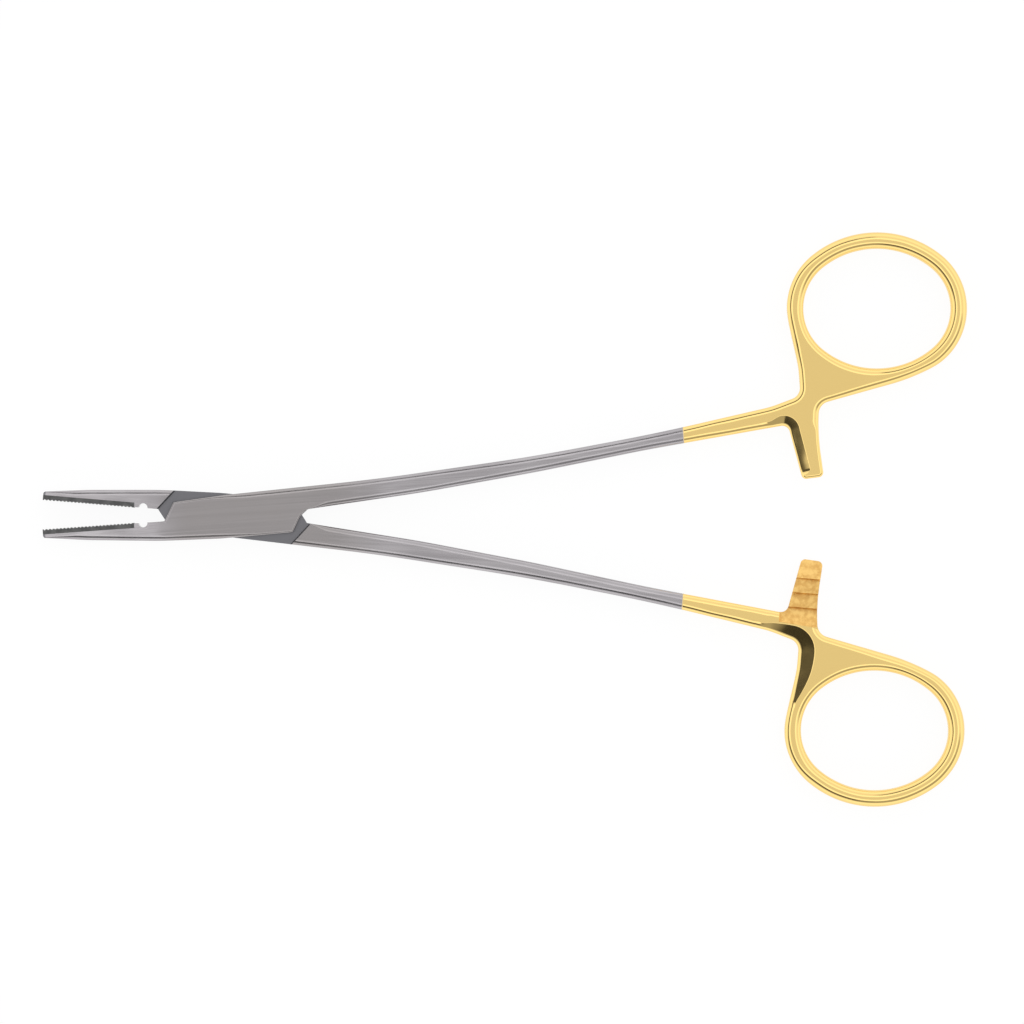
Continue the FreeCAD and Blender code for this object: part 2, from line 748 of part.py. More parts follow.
def cut_long_grooves(body, side):
    """Grooves along the jaw, spaced either side of its middle."""
    count = int(number("Size.tip_thick") / number("Size.tooth_pitch"))
    first = "Size.mid_level - %g * Size.tooth_pitch" % ((count - 1) / 2)
    sketch = new_sketch(body, "LongGroove", "YZ_Plane")
    corners = ["%d * (%s)" % (side, rise) for _, rise in groove(first)]
    levels = [place for place, _ in groove(first)]
    draw_outline(sketch, [sharp(*corner) for corner in zip(corners, levels)])
    cut = pocket_one_way(body, "LongCut", sketch, False)
    require_cut(body, cut)
    repeat(body, "LongRow", cut, "Z_Axis", count, "Size.tooth_pitch")


def check_document():
    for item in doc.Objects:
        if "Invalid" in item.State or "Error" in item.State:
            raise RuntimeError("%s did not build: %s" % (item.Name, item.State))


def write_parts(bodies):
    os.makedirs("parts", exist_ok=True)
    for body in bodies:
        shape = body.Shape
        if shape.isNull() or not shape.isValid() or len(shape.Solids) != 1:
            raise RuntimeError("%s is not one valid solid" % body.Label)
        shape.exportStep("parts/%s.step" % body.Label)
        print("%-20s %9.2f mm3, %d faces" % (body.Label, shape.Volume, len(shape.Faces)))


parts = [
    make_half("box_half", box_outline(), 1, cut_box_slot),
    make_half("tongue_half", tongue_outline(), -1, cut_tongue),
    make_pin(),
    make_insert("box_jaw_insert", 1),
    make_insert("tongue_jaw_insert", -1),
]
check_document()
write_parts(parts)
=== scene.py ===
import math
import bpy
import numpy as np
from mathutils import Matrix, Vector
from mathutils.geometry import delaunay_2d_cdt


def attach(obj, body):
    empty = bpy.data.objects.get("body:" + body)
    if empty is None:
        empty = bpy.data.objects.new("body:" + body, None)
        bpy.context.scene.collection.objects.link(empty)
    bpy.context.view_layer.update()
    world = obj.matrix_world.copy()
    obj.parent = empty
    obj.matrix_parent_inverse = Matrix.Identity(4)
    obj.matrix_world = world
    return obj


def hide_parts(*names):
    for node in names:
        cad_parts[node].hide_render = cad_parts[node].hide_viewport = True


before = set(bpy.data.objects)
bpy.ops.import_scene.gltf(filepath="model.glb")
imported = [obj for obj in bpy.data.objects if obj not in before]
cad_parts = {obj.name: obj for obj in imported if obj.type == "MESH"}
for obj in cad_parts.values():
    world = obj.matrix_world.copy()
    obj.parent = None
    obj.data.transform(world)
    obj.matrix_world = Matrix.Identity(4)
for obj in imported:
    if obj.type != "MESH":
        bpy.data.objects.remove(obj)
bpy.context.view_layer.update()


# The white table and the light tent round it. The tent is a sky that is bright at its
# sides and brightest in a collar high up, dimmer in the opening where the camera looks
# in, and dark in a gap below the collar, most of all at the front and on the left:
# polished metal shows the opening as flat tones and the gap as dark lines.
class Level:
    """One number in a shader. Sums written on it add the Math nodes that work them out."""

    def __init__(self, graph, socket):
        self.graph = graph
        self.socket = socket

    def math(self, operation, *inputs):
        return self.graph.add("ShaderNodeMath", {"operation": operation}, *inputs)

    def __add__(self, other):
        return self.math("ADD", self, other)

    def __radd__(self, other):
        return self.math("ADD", other, self)

    def __sub__(self, other):
        return self.math("SUBTRACT", self, other)

    def __rsub__(self, other):
        return self.math("SUBTRACT", other, self)

    def __mul__(self, other):
        return self.math("MULTIPLY", self, other)

    def __rmul__(self, other):
        return self.math("MULTIPLY", other, self)

    def __neg__(self):
        return 0.0 - self

    def __abs__(self):
        return self.math("ABSOLUTE", self)

    def at_least(self, least):
        return self.math("MAXIMUM", self, least)

    def at_most(self, most):
        return self.math("MINIMUM", self, most)

    def ramp(self, start, end):
        """Runs smoothly from 0 at start to 1 at end, and stays level beyond."""
        return self.graph.add("ShaderNodeMapRange", {"interpolation_type": "SMOOTHSTEP"}, self, start, end)


class Graph:
    """A node tree that is written as one call for each node."""

    def __init__(self, owner):
        owner.use_nodes = True
        self.tree = owner.node_tree
        self.tree.nodes.clear()

    def add(self, kind, settings=None, *inputs, output=0, **named):
        """A node of that kind, its settings first, then its sockets' values or links."""
        node = self.tree.nodes.new(kind)
        for name, setting in (settings or {}).items():
            setattr(node, name, setting)
        for key, given in list(enumerate(inputs)) + list(named.items()):
            if given is not None:
                self.feed(node.inputs[key.replace("_", " ") if isinstance(key, str) else key], given)
        return Level(self, node.outputs[output]) if node.outputs else node

    def feed(self, socket, given):
        """Links a level to a socket, or sets the socket to a value."""
        if isinstance(given, Level):
            self.tree.links.new(given.socket, socket)
        else:
            socket.default_value = given

    def mix(self, share, first, second):
        """One colour fading into another. A Mix node's colours are its sockets 6 and 7."""
        node = self.tree.nodes.new("ShaderNodeMix")
        node.data_type = "RGBA"
        self.feed(node.inputs[0], share)
        self.feed(node.inputs[6], first)
        self.feed(node.inputs[7], second)
        return Level(self, node.outputs[2])

    def split(self, vector):
        """The three parts of a vector."""
        return [self.add("ShaderNodeSeparateXYZ", None, vector, output=part) for part in range(3)]


tent_white = (1.0, 1.0, 1.0, 1.0)
side_level = 1.17
collar_gain, opening_loss, gap_loss, front_loss, left_loss = 0.12, 0.50, 0.2, 0.53, 0.9
tent = Graph(bpy.data.worlds.new("light_tent"))
across, along, upward = tent.split(tent.add("ShaderNodeTexCoord", output="Generated"))
opening = upward.ramp(0.980, 0.992)
collar = upward.ramp(0.885, 0.93)
gap = upward.ramp(0.50, 0.62) * (1.0 - collar)
from_front = (-along).ramp(0.02, 0.25)
from_left = (-across).ramp(-0.03, 0.06)
dark_left = upward.ramp(0.72, 0.77) * (1.0 - upward.ramp(0.85, 0.88)) * from_left
gap_level = gap * (gap_loss + front_loss * from_front)
tent_level = side_level + collar * collar_gain - opening * opening_loss - gap_level
tent_level = tent_level * (1.0 - left_loss * dark_left)
tent_seen = tent.add("ShaderNodeLightPath", output="Is Camera Ray")
tent_light = tent.add("ShaderNodeBackground", None, tent_white, tent_level)
tent_back = tent.add("ShaderNodeBackground", None, tent_white, 1.0)
tent_mix = tent.add("ShaderNodeMixShader", None, tent_seen, tent_light, tent_back)
tent.add("ShaderNodeOutputWorld", None, tent_mix)
bpy.context.scene.world = bpy.data.worlds["light_tent"]

table_reach = 3.0
table_glow, table_shine_through = 1.03, 0.9
table_corners = [(-table_reach, -table_reach, 0.0), (table_reach, -table_reach, 0.0),
                 (table_reach, table_reach, 0.0), (-table_reach, table_reach, 0.0)]
table_mesh = bpy.data.meshes.new("table")
table_mesh.from_pydata(table_corners, [], [(0, 1, 2, 3)])
table = bpy.data.objects.new("table", table_mesh)
bpy.context.collection.objects.link(table)
table_paint = bpy.data.materials.new("white_table")
paint = Graph(table_paint)
paper = paint.add("ShaderNodeBsdfDiffuse", None, (0.9, 0.9, 0.9, 1.0))
glow = paint.add("ShaderNodeEmission", None, tent_white, table_glow)
straight, mirrored, through = [paint.add("ShaderNodeLightPath", output="Is %s Ray" % ray)
                               for ray in ("Camera", "Glossy", "Transmission")]
seen = (straight + mirrored + through).at_most(1.0)
white = paint.add("ShaderNodeMixShader", None, seen * table_shine_through, paper, glow)
paint.add("ShaderNodeOutputMaterial", None, white)
table_mesh.materials.append(table_paint)

# The camera hangs straight above, as far off as a long lens asks.
camera_x, camera_y, camera_height = 0.05351, 0.00104, 1.6
camera_turn = 0.33
seen_width = 0.1966
camera_data = bpy.data.cameras.new("overhead")
camera_data.sensor_width = 36.0
camera_data.lens = camera_data.sensor_width * camera_height / seen_width
camera_data.clip_end = 20.0
camera = bpy.data.objects.new("overhead", camera_data)
camera.location = (camera_x, camera_y, camera_height)
camera.rotation_euler = (0.0, 0.0, math.radians(camera_turn))
bpy.context.collection.objects.link(camera)
bpy.context.scene.camera = camera
bpy.context.scene.view_settings.view_transform = "Standard"


# The half that carries the box: one drop forging of stainless steel, from its jaw
# through the two cheeks of the box and the shank to the finger ring and the ratchet
# arm. It is ground to shape, brushed, and its handle end is polished and gold plated.
# Both halves are worked out closed, about their middle level, and then swung apart.
# Sizes here are millimetres and degrees.
mm = 0.001
middle = 2.4
swing = 4.4
tip = 36.5
jaw_root = 13.5
lock = 14.4
shoulder_angle = 52
lock_slope = 1.0 / math.tan(math.radians(shoulder_angle))
shoulder_set_back, shoulder_gap = 0.6, 0.6
right_foot = lock + shoulder_set_back
cheek_top, cheek_low = 3.42, 3.95
corner_gap, corner_rise = 1.3, 0.9
jaw_relief, tongue_side_slack = 0.12, 0.12
notch_x, notch_radius = 17.2, 0.87
insert_root, insert_depth = 18.95, 0.95
slot_half, tongue_half_thick, recess_lean = 1.0, 0.95, 0.7
pin_radius, pin_running_gap = 1.4, 0.04
ring_centre = np.array([125.95, 30.85])
band_half, inside_solid = 1.6, 0.02
beyond_faces = 4.0
spacing = 0.55


def rounded_line(corners):
    """A closed line through corners given as (x, y, radius).

    Each rounding is the arc that touches both edges of its corner, so it starts
    radius / tan(half the corner's angle) back from it, and its centre lies on the
    halving line. Runs are divided evenly, no longer than the spacing.
    """
    longest_turn = 0.16
    spots = np.array([corner[:2] for corner in corners], float)
    pieces = []
    for spot, before, after, corner in zip(spots, np.roll(spots, 1, 0), np.roll(spots, -1, 0), corners):
        radius = corner[2]
        if not radius:
            pieces.append(spot[None])
            continue
        back = (before - spot) / np.linalg.norm(before - spot)
        ahead = (after - spot) / np.linalg.norm(after - spot)
        half = math.acos(np.clip(back @ ahead, -1, 1)) / 2
        centre = spot + (back + ahead) / np.linalg.norm(back + ahead) * radius / math.sin(half)
        first = spot + back * radius / math.tan(half) - centre
        last = spot + ahead * radius / math.tan(half) - centre
        start = math.atan2(first[1], first[0])
        turn = (math.atan2(last[1], last[0]) - start + math.pi) % (2 * math.pi) - math.pi
        steps = max(2, math.ceil(abs(turn) * radius / spacing), math.ceil(abs(turn) / longest_turn))
        angle = start + turn * np.linspace(0, 1, steps + 1)
        pieces.append(centre + radius * np.column_stack([np.cos(angle), np.sin(angle)]))
    line = np.concatenate(pieces)
    line = line[np.linalg.norm(line - np.roll(line, 1, 0), axis=1) > 1e-4]
    run = np.roll(line, -1, 0) - line
    count = np.maximum(1, np.ceil(np.linalg.norm(run, axis=1) / spacing)).astype(int)
    start = np.repeat(np.arange(len(line)), count)
    part = (np.arange(count.sum()) - np.repeat(np.cumsum(count) - count, count)) / np.repeat(count, count)
    return line[start] + run[start] * part[:, None]


def ring_oval(offset, angle):
    """The finger ring's oval, by the direction that its edge faces.

    Four arcs that touch: end arcs centred on the long axis and side arcs centred
    on the short one, where the arcs meet at the angle of the line between centres.
    The offset is measured outwards from the middle of the ring's band.
    """
    long_half, short_half, end_radius, tilt = 15.7, 13.05, 11.6, math.radians(-4)
    end_centre = long_half - end_radius
    side_radius = (short_half ** 2 + end_centre ** 2 - end_radius ** 2) / (2 * (short_half - end_radius))
    side_centre = side_radius - short_half
    facing = angle - tilt
    at_end = np.abs(np.cos(facing)) > end_centre / math.hypot(end_centre, side_centre)
    centre_x = np.where(at_end, np.sign(np.cos(facing)) * end_centre, 0.0)
    centre_y = np.where(at_end, 0.0, -np.sign(np.sin(facing)) * side_centre)
    radius = np.where(at_end, end_radius, side_radius) + offset
    x = centre_x + radius * np.cos(facing)
    y = centre_y + radius * np.sin(facing)
    return ring_centre + np.column_stack([x * math.cos(tilt) - y * math.sin(tilt),
                                          x * math.sin(tilt) + y * math.cos(tilt)])


def eased(value, start, end):
    """0 before start, 1 after end, and 3t^2 - 2t^3 of the way t between."""
    way = np.clip((value - start) / (end - start), 0, 1)
    return way * way * (3 - 2 * way)


def blend_junctions(line):
    """Draws a line's points towards their neighbours' middle, most near the ring's two junctions."""
    junctions, reach, rounds = ((133.5, 17.7), (109.3, 26.2)), 4.0, 60
    pull = sum(np.exp(-(np.linalg.norm(line - place, axis=1) / reach) ** 2) for place in junctions)
    pull = np.clip(pull, 0, 1)[:, None]
    for _ in range(rounds):
        line = line + pull * 0.5 * ((np.roll(line, 1, 0) + np.roll(line, -1, 0)) / 2 - line)
    return line


notch_near, notch_far = notch_radius - notch_x, -notch_radius - notch_x
notch_floor = -jaw_relief - notch_radius
jaw_line = [
    (notch_near, -jaw_relief, None), (notch_near, notch_floor, notch_radius),
    (notch_far, notch_floor, notch_radius), (notch_far, -jaw_relief, None),
    (-insert_root, -jaw_relief, None), (-insert_root, -insert_depth, None), (-tip, -insert_depth, None),
    (-tip, -1.65, 0.5), (-28, -2.68, 60), (-14, -3.84, 80), (-2.5, -4.2, 40),
]
shank_belly = [(36, 1.82, 250), (58, 4.15, 250), (80, 6.98, 250), (107.35, 9.85, 1.5)]
arm_line = [(109.4, -0.8, 0.95), (113.5, -0.55, 0.95), (112.95, 7.5, 40)]
web_line = [(113.6, 13.35, 2.4), (131.3, 16.95, 25)]
ring_facing = np.radians(np.arange(-60, 187, 2.0))
ring_run = [(x, y, None) for x, y in ring_oval(band_half - inside_solid, ring_facing)]
back_line = [
    (110.15, 20.85, 12), (110.15, 15.25, 2.2), (104.3, 13.5, 20),
    (82, 10, 400), (58, 7.25, 400), (28, 5.08, 400), (-1.1, 4.1, 20),
]
handle_line = shank_belly + arm_line + web_line + ring_run + back_line
cheek_right = [
    (right_foot - cheek_low * lock_slope - shoulder_gap, -cheek_low, None),
    (right_foot - corner_rise * lock_slope - corner_gap, -corner_rise, 3),
    (lock, 0.25, 0.9),
]
cheek_left = [
    (-lock + cheek_top * lock_slope + shoulder_gap, cheek_top, None),
    (-lock + corner_gap, -jaw_relief, None),
]
box_corners = jaw_line + cheek_right + handle_line + cheek_left


def thickness(x):
    """Half the forging's thickness: full at the box, thinned to the jaw tip and the handle.

    The jaw's taper meets the box in a soft bend: the lesser of the two, softened by
    the logarithm of a sum of exponentials. The neck thins along an easing curve.
    """
    full, at_tip, handle_thinning, bend = 2.4, 1.15, 0.6, 14
    taper = at_tip + (x + tip) * (full - at_tip) / (tip - jaw_root)
    softened = full - np.logaddexp(0, (full - taper) * bend) / bend
    regained = math.log(2) / bend * np.exp(-((x + jaw_root) / 3) ** 2)
    neck = full - handle_thinning * eased(x, 14.5, 37)
    return np.where(x < 0, np.minimum(softened + regained, full), neck)


def edge_rounding(line):
    """How far in, and how far down, the outer edges are rounded, in mm.

    The width grows from the jaw tip to the full one of the shank and the ring. It is
    least where the edges stay crisp: inside the jaw, on the ratchet arm, along the
    cheeks' ends and in the fork beside the box. The depth is a share of the width.
    """
    x, y = line.T
    full, at_tip, inside_jaw, at_cheek, at_fork, at_arm = 1.08, 0.14, 0.05, 0.4, 0.12, 0.62
    growth, shank_gain, arm_root_gain, ring_gain = 0.15, 0.14, 0.65, 0.19
    arm_start, arm_root = 104, 10.2
    across = np.minimum(full, at_tip + growth * np.abs(x + tip)) + shank_gain * eased(x, 30, 62)
    on_arm = (x > arm_start) & (y < arm_root)
    across = np.where(on_arm, at_arm + arm_root_gain * eased(y, arm_root - 2, arm_root), across)
    jaw_inside = (x < -13.0) & (y > -1.3)
    across = np.where(jaw_inside, inside_jaw, across)
    cheek = (x > -13.2) & (x < 15.2)
    cheek_end = cheek & (np.abs(y) < 3.35)
    across = np.where(cheek, at_cheek + (full - at_cheek) * eased(x * np.sign(y), -6, 4), across)
    across = np.where(cheek_end, at_cheek, across)
    fork = (x >= 13.3) & (x < 20) & (np.abs(y) < 2.5)
    across = np.where(fork, at_fork + (full - at_fork) * eased(x, 14.6, 19), across)
    at_ring = eased(x, 110, 116) * eased(y, 13, 17)
    narrow = np.exp(-((x - 134) ** 2 + (y - 19) ** 2) / 40)
    depth_share = 0.65 + 0.05 * eased(x, 30, 78) + 0.38 * at_ring
    return across + ring_gain * at_ring * (1 - narrow), across * depth_share


def within(spots, loops):
    """True inside an odd number of loops: a ray to the right crosses them an odd number of times."""
    crossed = np.zeros(len(spots), int)
    for start in loops:
        end = np.roll(start, -1, 0)
        spans = (start[:, 1] > spots[:, 1, None]) != (end[:, 1] > spots[:, 1, None])
        rise = end[:, 1] - start[:, 1]
        rise = np.where(rise == 0, 1e-12, rise)
        meets = start[:, 0] + (spots[:, 1, None] - start[:, 1]) / rise * (end[:, 0] - start[:, 0])
        crossed += (spans & (spots[:, 0, None] < meets)).sum(1)
    return crossed % 2 == 1


def edge_rows(line, width, tilt):
    """Rows of points from the underside's rim, out round the side wall, to the top's rim.

    The line is carried inwards and upwards together: a quarter ellipse from the side
    wall, then a straight facet of the given width and tilt, then level. Points move
    along the mitre of their two edges. The underside mirrors the top.
    """
    least_divisor, least_wall, least_reach, least_steep, full_facet = 0.45, 0.12, 0.06, 1e-4, 0.5
    turns = np.linspace(0, 1, 10)
    before, after = np.roll(line, 1, 0), np.roll(line, -1, 0)
    entry = (line - before) / np.linalg.norm(line - before, axis=1)[:, None]
    leave = (after - line) / np.linalg.norm(after - line, axis=1)[:, None]
    normal_in = np.column_stack([-entry[:, 1], entry[:, 0]])
    normal_out = np.column_stack([-leave[:, 1], leave[:, 0]])
    divisor = np.maximum(1 + (normal_in * normal_out).sum(1), least_divisor)
    mitre = (normal_in + normal_out) / divisor[:, None]
    across, down = edge_rounding(line)
    steep = math.tan(math.radians(tilt)) * np.clip(width / full_facet, 0, 1)
    down = np.minimum(down, thickness(line[:, 0]) - steep * width - least_wall)
    last = np.arctan2(down, across * np.maximum(steep, least_steep))
    angle = turns[:, None] * last
    inset = across * (1 - np.cos(angle))
    drop = down * (np.sin(last) - np.sin(angle)) + steep * width
    reach = np.maximum(width, least_reach)
    inset = np.vstack([inset] + [inset[-1] + reach * share for share in (0.08, 0.94, 1)]
                      + [inset[-1] + reach + 0.05])
    drop = np.vstack([drop] + [steep * width * share for share in (0.92, 0.06, 0, 0)])
    spot = line[None] + inset[:, :, None] * mitre[None]
    top = np.dstack([spot, thickness(spot[:, :, 0]) - drop])
    return np.concatenate([top[::-1], top * (1, 1, -1)])


def forged_half(outline, hole, facet, tilt):
    """A closed forging from its outline, the line round its ring's hole and its facet.

    Both lines get their rows round the edge, and the level middle between their
    innermost rows is filled with triangles, above and below.
    """
    fill_spacing, least_gap_squared = 1.1, 0.3
    points, faces, first = [], [], 0
    upper_rims, lower_rims, edges = [], [], []
    for line, width in ((outline, facet(outline)), (hole, np.zeros(len(hole)))):
        rows = edge_rows(line, width, tilt)
        grid = first + np.arange(rows.shape[0] * rows.shape[1]).reshape(rows.shape[:2])
        beside = np.roll(grid, -1, 1)
        faces += np.stack([grid[:-1], grid[1:], beside[1:], beside[:-1]], -1).reshape(-1, 4).tolist()
        points.append(rows.reshape(-1, 3))
        upper_rims.append(grid[0])
        lower_rims.append(grid[-1])
        edges.append(rows[0][:, :2])
        first += grid.size
    edge = np.concatenate(edges)
    low, high = edge.min(0), edge.max(0)
    x, y = np.meshgrid(np.arange(low[0], high[0], fill_spacing), np.arange(low[1], high[1], fill_spacing))
    inner = np.column_stack([x.ravel(), y.ravel()])
    inner = inner[within(inner, edges)]
    gap_squared = np.array([np.min(np.sum((edge - spot) ** 2, 1)) for spot in inner])
    inner = inner[gap_squared > least_gap_squared]
    spots = np.concatenate([edge, inner])
    loops, start = [], 0
    for rim in edges:
        index = start + np.arange(len(rim))
        loops += np.column_stack([index, np.roll(index, -1)]).tolist()
        start += len(index)
    found = delaunay_2d_cdt([Vector(spot) for spot in spots.tolist()], loops, [], 1, 1e-7)
    kept = np.array([origin[0] if origin else -1 for origin in found[3]])
    triangles = kept[np.array(found[2])]
    triangles = triangles[~within(spots[triangles].mean(1), edges[1:])]
    upper = np.concatenate(upper_rims + [first + np.arange(len(inner))])
    lower = np.concatenate(lower_rims + [first + len(inner) + np.arange(len(inner))])
    level = thickness(inner[:, 0])
    points += [np.column_stack([inner, level]), np.column_stack([inner, -level])]
    faces += upper[triangles].tolist() + lower[triangles[:, ::-1]].tolist()
    return np.concatenate(points), faces


def solid(name, points, faces, side):
    """A mesh object in its place: swung about the pivot, and turned over for the tongue half."""
    points = points * (1, side, 1)
    angle = math.radians(swing * side)
    x = points[:, 0] * math.cos(angle) - points[:, 1] * math.sin(angle)
    y = points[:, 0] * math.sin(angle) + points[:, 1] * math.cos(angle)
    placed = np.column_stack([x, y, points[:, 2] + middle]) * mm
    if side < 0:
        faces = [face[::-1] for face in faces]
    mesh = bpy.data.meshes.new(name)
    mesh.from_pydata(placed.tolist(), [], faces)
    mesh.validate()
    piece = bpy.data.objects.new(name, mesh)
    bpy.context.collection.objects.link(piece)
    return piece


def lattice(bottom, top):
    """A closed block between two sheets of points, each an array of rows by columns."""
    rows, columns = bottom.shape[:2]
    low = np.arange(rows * columns).reshape(rows, columns)
    quads = np.stack([low[:-1, :-1], low[:-1, 1:], low[1:, 1:], low[1:, :-1]], -1).reshape(-1, 4)
    round_low = np.concatenate([low[0, :-1], low[:-1, -1], low[-1, :0:-1], low[:0:-1, 0]])
    round_high = round_low + low.size
    sides = np.column_stack([round_low, np.roll(round_low, -1), np.roll(round_high, -1), round_high])
    faces = quads[:, ::-1].tolist() + (quads + low.size).tolist() + sides.tolist()
    return np.concatenate([bottom.reshape(-1, 3), top.reshape(-1, 3)]), faces


def cut_away(piece, *tools):
    """Takes closed blocks off a piece, one after another."""
    for tool in tools:
        cutter = piece.modifiers.new("cut", "BOOLEAN")
        cutter.operation = "DIFFERENCE"
        cutter.solver = "EXACT"
        cutter.object = tool
        bpy.context.view_layer.update()
        finished = piece.evaluated_get(bpy.context.evaluated_depsgraph_get())
        mesh = bpy.data.meshes.new_from_object(finished)
        piece.modifiers.clear()
        old = piece.data
        piece.data = mesh
        bpy.data.meshes.remove(old)
        bpy.data.objects.remove(tool)
    piece.data.name = piece.name


def lock_space(right, low, high, lean=0.0):
    """The space between the lock's two slanted walls, as a block from low to high.

    The lean is how much further out each wall stands at the face away from the middle.
    """
    beside = 6.3
    slant = beside * lock_slope
    left_wall = np.array([[-lock + slant, -beside], [-lock, 0], [-lock, beside]])
    right_wall = np.array([[right, -beside], [right, 0], [right - slant, beside]])
    plan = np.stack([left_wall, right_wall], 1)
    wider = plan + np.array([[-lean, 0], [lean, 0]])
    level = np.ones(plan.shape[:2])
    bottom, top = (wider, plan) if low + high < 0 else (plan, wider)
    return lattice(np.dstack([bottom, level * low]), np.dstack([top, level * high]))


def rod(radius):
    """A round bar about the pivot axis, as a block whose sheets are squeezed to discs.

    A square grid from -1 to 1 goes to a disc when each point keeps its place's
    larger half as its distance from the middle, and its direction.
    """
    half_length = 3.0
    u, v = np.meshgrid(np.linspace(-1, 1, 17), np.linspace(-1, 1, 17))
    reach = np.maximum(np.abs(u), np.abs(v)) / np.maximum(np.hypot(u, v), 1e-9) * radius
    plan = np.stack([u * reach, v * reach], -1)
    level = np.full(u.shape, half_length)
    return lattice(np.dstack([plan, -level]), np.dstack([plan, level]))


def arm_cut(toothed):
    """What is cut off an arm: everything past its toothed face, with the teeth standing.

    The depth runs from a plain ramp at the tip to three teeth, each a steep side and
    a slope back up to the face, and ends along the ledge across the arm's root.
    """
    x = np.array([105.9, 106.3, 112.2, 113.9, 114.6])
    ledge = np.array([11.55, 11.6, 12.1, 12.6, 12.8])
    past_tip, first, pitch, depth, steep_run, face_gap = -2.6, 2.88, 2.82, 0.75, 0.02, 0.05
    crests = first + pitch * np.arange(3)
    teeth = np.column_stack([crests, crests + steep_run]).ravel()
    y = np.concatenate([[past_tip], teeth, [first + 3 * pitch]])
    deep = np.array([depth, 0.0] * 4 + [0.0])[:, None] + np.zeros(len(x))
    rows = np.vstack([np.tile(y[:, None], len(x)), ledge])
    across = np.tile(x, (len(rows), 1))
    near = np.dstack([across, rows, -toothed * (face_gap + deep)])
    away = np.dstack([across, rows, np.full(rows.shape, toothed * beyond_faces)])
    return lattice(near, away) if toothed > 0 else lattice(away, near)


def travel_from(line, place):
    """Length along a line from its point that is nearest to a place."""
    travel = np.cumsum(np.linalg.norm(line - np.roll(line, 1, 0), axis=1))
    return travel - travel[np.argmin(np.linalg.norm(line - place, axis=1))]


def arm_facet(line):
    """Width of the ground facet along the arm's left edge and into the shank."""
    widest, arm_root = 1.6, shank_belly[-1][:2]
    travel = travel_from(line, arm_root)
    return widest * eased(travel, -5.5, 1.0) * (1 - eased(travel, 9.0, 10.5))


arm_facet_tilt = 17
hole = ring_oval(-band_half, np.radians(np.arange(360, 0, -2.5)))
outline = blend_junctions(rounded_line(box_corners))
points, faces = forged_half(outline, hole, arm_facet, arm_facet_tilt)
box_half = solid("box_half_forging", points, faces, 1)
cut_away(box_half,
         solid("slot", *lock_space(lock, -slot_half, slot_half), 1),
         solid("pin_bore", *rod(pin_radius), 1),
         solid("teeth", *arm_cut(-1), 1))
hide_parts("box_half")
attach(box_half, "box_side")


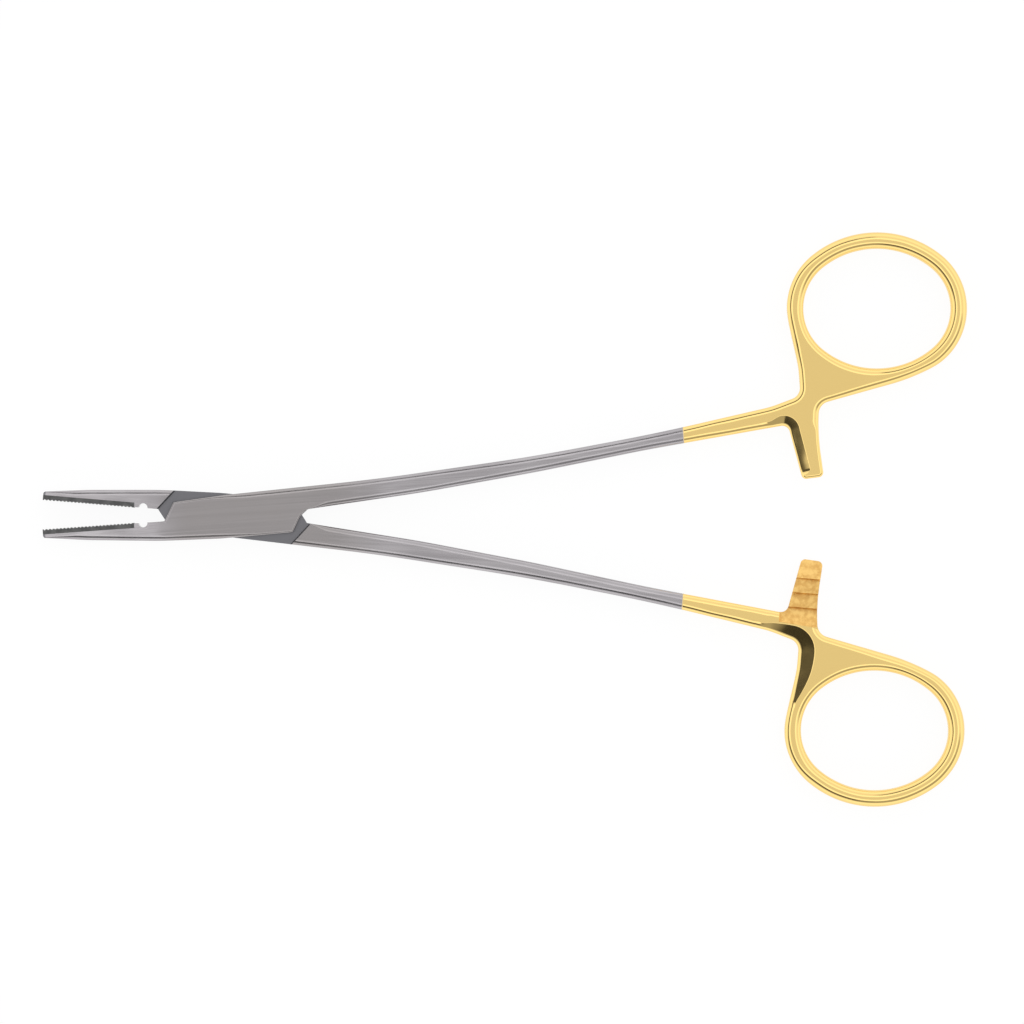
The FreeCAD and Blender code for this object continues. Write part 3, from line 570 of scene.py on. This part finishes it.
def plated_steel(name, side):
    """Brushed steel up to a line across the shank, polished gold beyond it.

    The places are metres along and across a half as it lies closed. Only the tongue
    half, side -1, is sunk between the lock's walls and has its teeth on top. Its recess
    between the walls is painted darker, as painted shade, and is also rougher, as milled;
    the blunt end of the jaw tip is painted dark, as a painted reflection.
    """
    dull_steel, bright_steel = (0.385, 0.365, 0.378, 1.0), (0.475, 0.453, 0.467, 1.0)
    # The second colour on this line is a painted-shade steel, used for the recess and the jaw tip's end.
    handled_steel, painted_shade_steel = (0.345, 0.322, 0.318, 1.0), (0.18, 0.178, 0.19, 1.0)
    gold_plate = (0.97, 0.705, 0.265, 1.0)
    worn_tooth, bright_tooth = (0.76, 0.44, 0.13, 1.0), (0.95, 0.62, 0.21, 1.0)
    tongue_only = 1.0 if side < 0 else 0.0
    material = bpy.data.materials.new(name)
    skin = Graph(material)
    place = skin.add("ShaderNodeTexCoord", output="Object")
    turned = skin.add("ShaderNodeMapping", {"vector_type": "TEXTURE"}, place, None,
                      (0.0, 0.0, math.radians(swing * side)))
    along, aside, height = skin.split(turned)
    aside = aside * side

    streaked = skin.add("ShaderNodeMapping", None, turned, None, None, (24.0, 3000.0, 3000.0))
    streaks = skin.add("ShaderNodeTexNoise", None, streaked, Scale=1.0, Detail=3.0, Roughness=0.6)
    clouded = skin.add("ShaderNodeMapping", None, turned, None, None, (60.0, 260.0, 200.0))
    clouds = skin.add("ShaderNodeTexNoise", None, clouded, Scale=1.0, Detail=2.0)
    speckle = skin.add("ShaderNodeTexNoise", None, turned, Scale=900.0, Detail=3.0)
    swell = skin.add("ShaderNodeTexNoise", None, turned, Scale=110.0, Detail=1.0)

    gold = along.ramp(0.08712, 0.08732)
    on_arm = along.ramp(0.1055, 0.1062) * (1.0 - along.ramp(0.1147, 0.1152))
    teeth = on_arm * (1.0 - aside.ramp(0.0119, 0.0123)) * height.ramp(0.00262, 0.00258) * tongue_only
    left_wall = (-aside).at_least(0.0) * lock_slope - (lock + recess_lean / 2) * mm
    right_wall = (right_foot + recess_lean / 2) * mm - aside.at_least(0.0) * lock_slope
    between = (along - left_wall).ramp(0.0, 0.00005) * (right_wall - along).ramp(0.0, 0.00005)
    # Painted shade: this mask darkens the recess between the lock's walls in colour. It also makes the
    # recess rougher, as milled.
    recess_milled_and_painted_shade = between * abs(height - middle * mm).ramp(0.0022, 0.002) * tongue_only
    box_face = along.ramp(-0.016, -0.008) * (1.0 - along.ramp(0.018, 0.032))
    # Painted reflection: the last fraction of a millimetre at the jaw tip is painted dark, standing in for
    # the dark tent that the tip end faces.
    tip_end_painted_dark_reflection = 1.0 - along.ramp(-0.03632, -0.0359)

    grinding = (clouds * 0.55 + streaks * 0.45).ramp(0.36, 0.62)
    brushed = skin.mix(grinding, dull_steel, bright_steel)
    worn = skin.mix(box_face * (0.55 + 0.45 * clouds), brushed, handled_steel)
    # Painted shade and painted reflection: the recess and the jaw tip's end are mixed towards the dark
    # steel.
    steel_colour = skin.mix(recess_milled_and_painted_shade + tip_end_painted_dark_reflection, worn, painted_shade_steel)
    tooth_colour = skin.mix(speckle.ramp(0.35, 0.65), worn_tooth, bright_tooth)
    colour = skin.mix(gold, steel_colour, skin.mix(teeth, gold_plate, tooth_colour))
    steel_rough = 0.10 + 0.14 * streaks + recess_milled_and_painted_shade * 0.15
    gold_rough = 0.07 + 0.02 * clouds + teeth * 0.3
    rough = steel_rough * (1.0 - gold) + gold_rough * gold
    wavy = skin.add("ShaderNodeBump", None, Strength=1.0, Distance=0.00035,
                    Height=swell * (0.4 + 0.6 * gold))
    scratched = skin.add("ShaderNodeBump", None, Strength=0.12, Distance=0.00002,
                         Height=streaks * (1.0 - gold), Normal=wavy)
    surface = skin.add("ShaderNodeBsdfPrincipled", None, Base_Color=colour, Metallic=1.0,
                       Roughness=rough, Normal=scratched)
    skin.add("ShaderNodeOutputMaterial", None, surface)
    return material


def coat(piece, material):
    """Gives a piece its only material."""
    piece.data.materials.clear()
    piece.data.materials.append(material)


def smooth(piece):
    """Smooth shading, broken at real edges only."""
    sharpest_bend = 30
    piece.data.shade_smooth()
    piece.data.set_sharp_from_angle(angle=math.radians(sharpest_bend))


coat(box_half, plated_steel("box_half_finish", 1))
smooth(box_half)


# The half that carries the tongue: the same forging turned over, thinned between
# its two slanted shoulders to the tongue that turns inside the box. Its ratchet
# arm lies under the other, so its teeth show.
tongue_reach = lock - tongue_side_slack
tongue_corners = jaw_line + [
    (tongue_reach - cheek_low * lock_slope, -cheek_low, None), (tongue_reach, 0.2, None),
] + handle_line + [
    (-tongue_reach + cheek_top * lock_slope, cheek_top, None),
    (-tongue_reach, 0, None), (-tongue_reach, -jaw_relief, None),
]


def handle_facet(line):
    """Width of the hollow facet in the bend from shank to ring: widest in the bend itself."""
    widest, bend, ahead, half_run = 2.5, (110.15, 15.25), 2.0, 10.5
    travel = travel_from(line, bend)
    return widest * (1 - np.clip(np.abs(travel + ahead) / half_run, 0, 1) ** 1.6)


handle_facet_tilt = 18
outline = blend_junctions(rounded_line(tongue_corners))
points, faces = forged_half(outline, hole, handle_facet, handle_facet_tilt)
tongue_half = solid("tongue_half_forging", points, faces, -1)
cut_away(tongue_half,
         solid("upper_recess", *lock_space(right_foot, tongue_half_thick, beyond_faces, recess_lean), -1),
         solid("lower_recess", *lock_space(right_foot, -beyond_faces, -tongue_half_thick, recess_lean), -1),
         solid("pin_bore", *rod(pin_radius + pin_running_gap), -1),
         solid("teeth", *arm_cut(1), -1))
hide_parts("tongue_half")
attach(tongue_half, "tongue_side")
coat(tongue_half, plated_steel("tongue_half_finish", -1))
smooth(tongue_half)


# The pivot pin, a plain steel rod through both cheeks and the tongue. It is riveted
# and ground flush with the box, then brushed with it, so that it all but vanishes.
coat(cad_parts["pivot_pin"], plated_steel("pin_finish", 1))


# The two inserts, sintered tungsten carbide brazed to the jaws: dark, fine-grained
# and harder than the steel, with rows of small pyramids that grip the needle.
dark_carbide, light_carbide = (0.10, 0.10, 0.10, 1.0), (0.14, 0.14, 0.138, 1.0)
carbide = bpy.data.materials.new("carbide")
skin = Graph(carbide)
place = skin.add("ShaderNodeTexCoord", output="Object")
grain = skin.add("ShaderNodeTexNoise", None, place, Scale=9000.0, Detail=2.0)
patches = skin.add("ShaderNodeTexNoise", None, place, Scale=700.0, Detail=2.0)
surface = skin.add("ShaderNodeBsdfPrincipled", None,
                   Base_Color=skin.mix(patches.ramp(0.35, 0.65), dark_carbide, light_carbide),
                   Metallic=1.0, Roughness=0.36 + 0.16 * grain,
                   Normal=skin.add("ShaderNodeBump", None, Strength=0.2, Distance=0.00001, Height=grain))
skin.add("ShaderNodeOutputMaterial", None, surface)
for name in ("box_jaw_insert", "tongue_jaw_insert"):
    coat(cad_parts[name], carbide)
